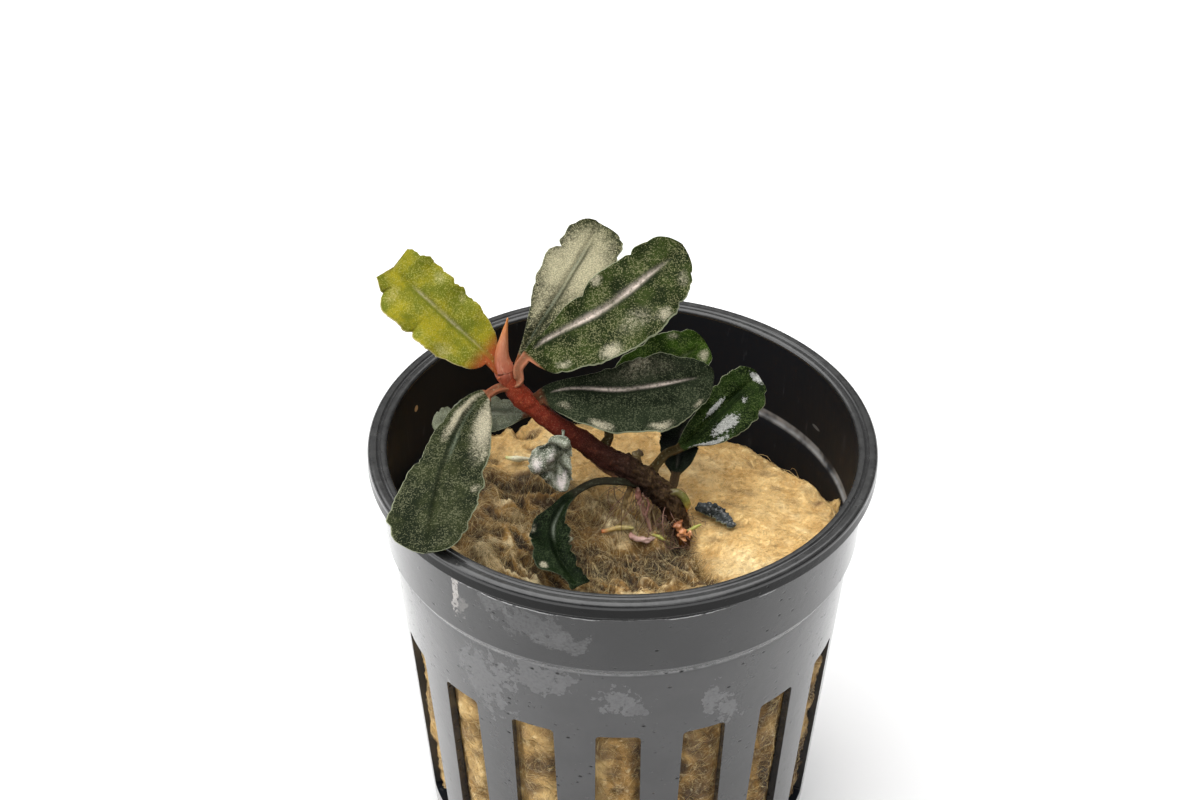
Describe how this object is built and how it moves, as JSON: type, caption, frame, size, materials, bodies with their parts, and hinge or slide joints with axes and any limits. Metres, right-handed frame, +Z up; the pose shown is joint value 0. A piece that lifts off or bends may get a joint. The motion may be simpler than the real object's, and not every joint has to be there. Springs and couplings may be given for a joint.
{
  "type": "potted bucephalandra plant",
  "caption": "Young bucephalandra with dark speckled wavy leaves on a red creeping stem, rooted in a mineral wool plug inside a round slotted black aquarium pot.",
  "frame": {"origin": "centre of the pot's flat bottom, on the surface that it stands on", "axes": "+Z up through the pot's middle; -Y is the front, the side that the picture shows; +X to the right of it"},
  "size_m": [0.055, 0.055, 0.0709],
  "materials": {
    "pot_plastic": "moulded black plastic, glossy, with a dried water film and lime spots",
    "mineral_wool": "golden brown felted fibres",
    "stem_skin": "satin skin, red at the crown and dark brown with fuzzy scars at the foot",
    "new_leaf": "smooth orange pink",
    "dark_leaf": "glossy dark green with a fine pale speckle",
    "pale_leaf": "silvery green with a fine speckle",
    "yellow_leaf": "yellow green with a fine speckle",
    "dead_leaf": "dry, dark and wrinkled",
    "root": "matt reddish brown",
    "shoot": "pale yellow green, satin"
  },
  "bodies": {
    "root": {"pot": "pot_plastic", "mineral_wool": "mineral_wool", "rhizome": "stem_skin", "new_leaf_spear": "new_leaf", "leaf_1_yellow": "yellow_leaf", "leaf_2_pale": "pale_leaf", "leaf_3_large": "dark_leaf", "leaf_4_back": "dark_leaf", "leaf_5_dark": "dark_leaf", "leaf_6_right": "dark_leaf", "leaf_7_low": "dark_leaf", "leaf_8_over_rim": "dark_leaf", "leaf_9_under": "dark_leaf", "leaf_10_torn": "pale_leaf", "leaf_11_curled": "dark_leaf", "leaf_scrap": "dead_leaf", "root_1": "root", "root_2": "root", "root_3": "root", "shoot_yellow": "shoot", "shoot_green": "shoot", "sprout_white": "shoot"}
  },
  "joints": []
}
